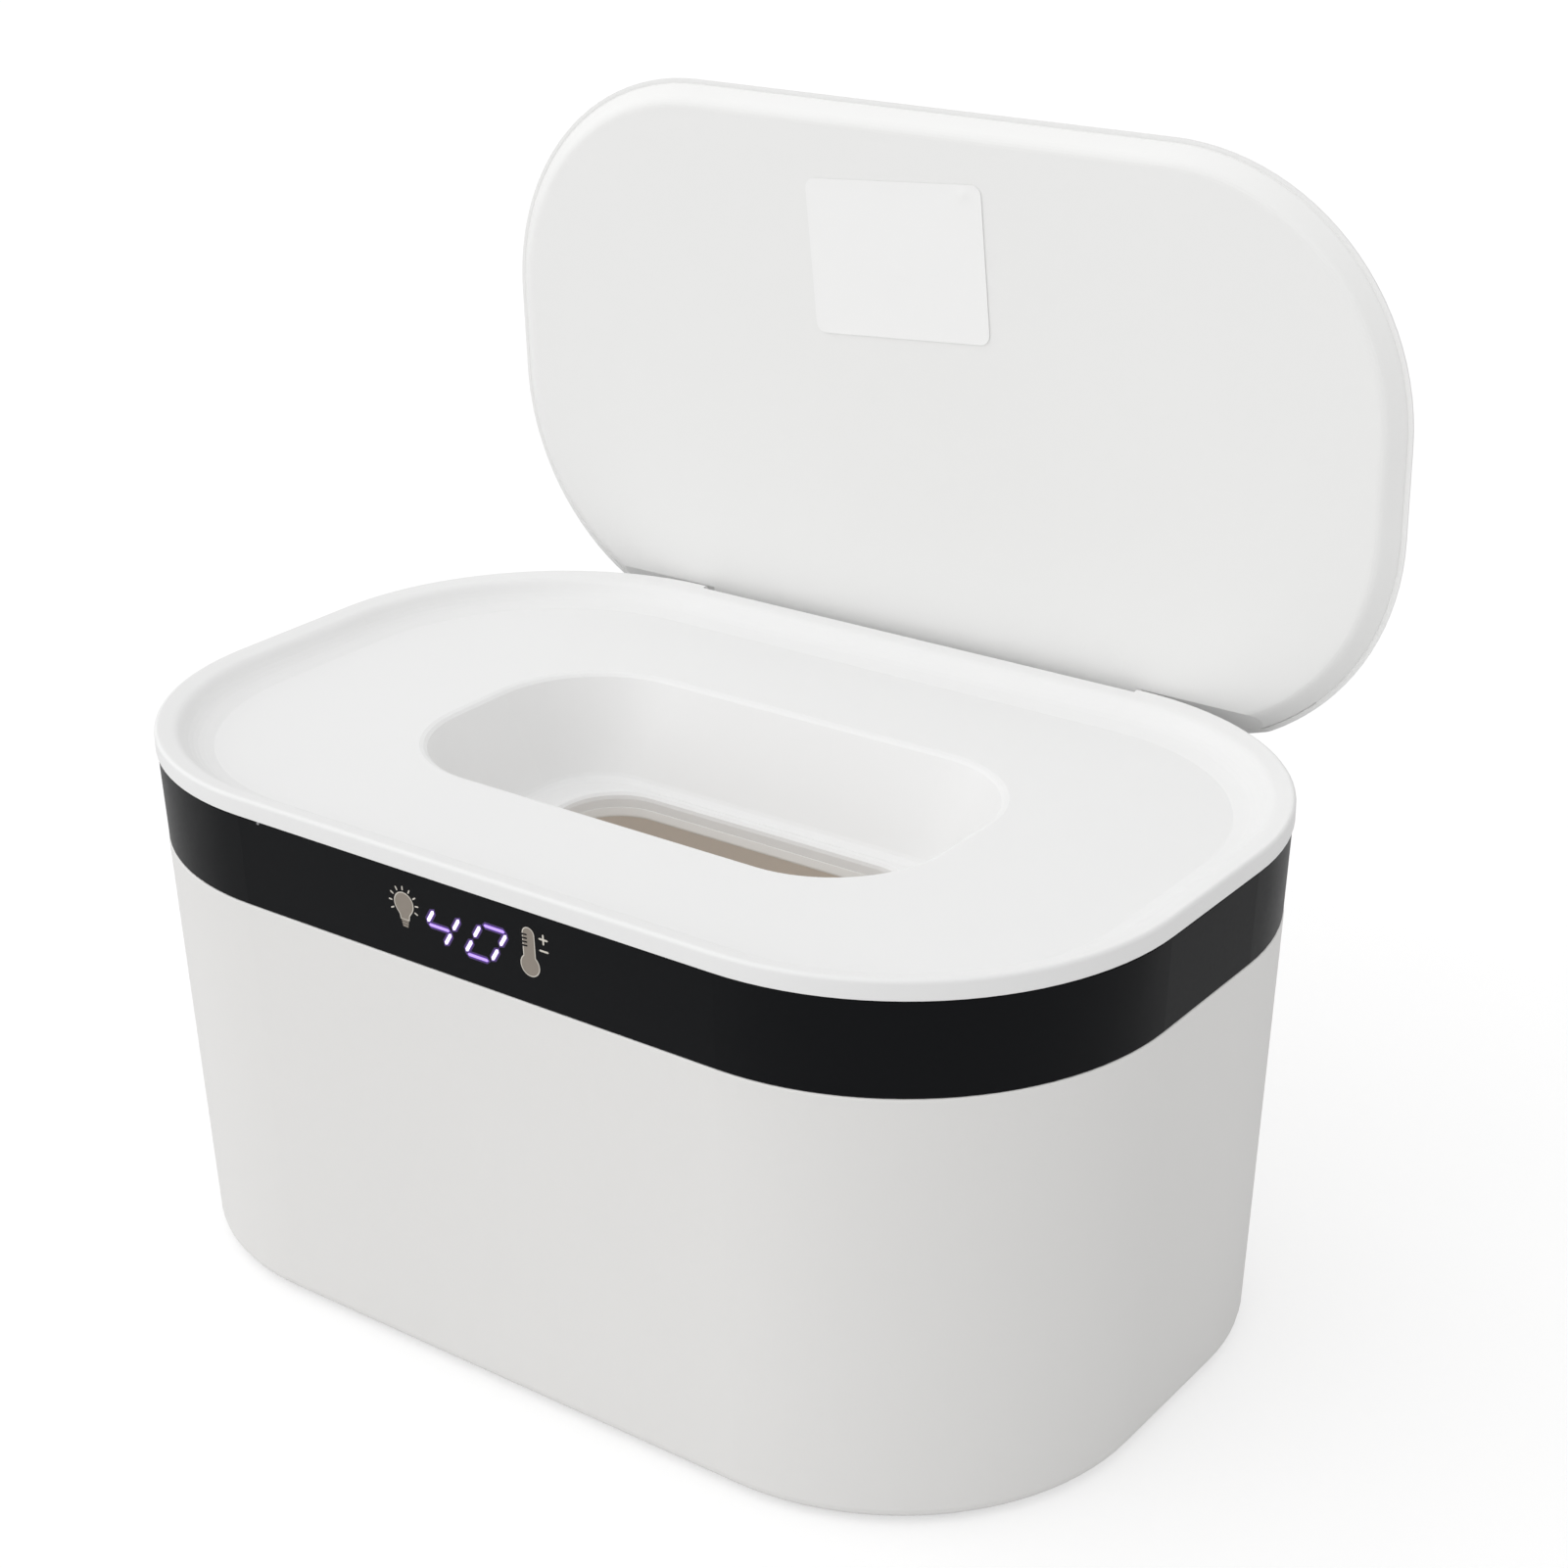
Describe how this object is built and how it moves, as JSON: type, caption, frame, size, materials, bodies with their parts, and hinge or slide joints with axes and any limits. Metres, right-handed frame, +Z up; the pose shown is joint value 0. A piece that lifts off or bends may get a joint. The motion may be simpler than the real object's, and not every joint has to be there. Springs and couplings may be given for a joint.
{
  "type": "baby wipe warmer",
  "caption": "Heated box for baby wipes with a dark touch band, a sloped dispensing well with a slot in a lift-off top, and a rounded lid hinged at the rear.",
  "frame": {"origin": "on the surface that the feet stand on, under the middle of the casing", "axes": "+Z up, +X to the right along the casing's length, the front with the digits faces -Y; the lid is drawn open"},
  "size_m": [0.2214, 0.1541, 0.2201],
  "materials": {
    "white_plastic": "fine satin",
    "white_gloss": "smooth satin gloss",
    "dark_plastic": "smooth, lightly dusty",
    "liner_plastic": "satin",
    "rubber": "matt",
    "steel": "zinc plated",
    "foam": "closed-cell foam",
    "aluminium": "mill finish",
    "heater_film": "amber film",
    "ceramic": "matt",
    "black_plastic": "moulded",
    "circuit_board": "solder mask",
    "wire": "insulated",
    "digit_display": "clear face",
    "led": "diffused",
    "silicone": "soft silicone"
  },
  "bodies": {
    "casing": {"casing_shell": "white_plastic", "dark_band": "dark_plastic", "base_cover": "white_plastic", "rubber_feet": "rubber", "base_screws": "steel", "tank": "liner_plastic", "insulation_sleeve": "foam", "heater_plate": "aluminium", "heater_mat": "heater_film", "floor_insulation": "foam", "heater_clamp": "steel", "clamp_screws": "steel", "thermal_fuse": "ceramic", "temperature_sensor": "black_plastic", "main_board": "circuit_board", "board_components": "black_plastic", "board_screws": "steel", "power_socket": "black_plastic", "heater_leads": "wire", "display_cable": "wire", "display_board": "circuit_board", "digit_display": "digit_display", "touch_pads": "black_plastic", "night_light_leds": "led", "display_screws": "steel"},
    "top": {"dispensing_top": "white_gloss", "slot_liner": "silicone", "tank_seal": "silicone", "hinge_pins": "steel"},
    "lid": {"lid_cover": "white_gloss", "lid_inner_panel": "white_gloss"}
  },
  "joints": [
    {"name": "top_lift", "type": "slide", "parent": "casing", "child": "top", "axis": [0, 0, 1], "range_m": [0, 0.06]},
    {"name": "lid_hinge", "type": "hinge", "parent": "top", "child": "lid", "pos_m": [0, 0.0653, 0.0995], "axis": [1, 0, 0], "range_deg": [0, 88.3]}
  ]
}
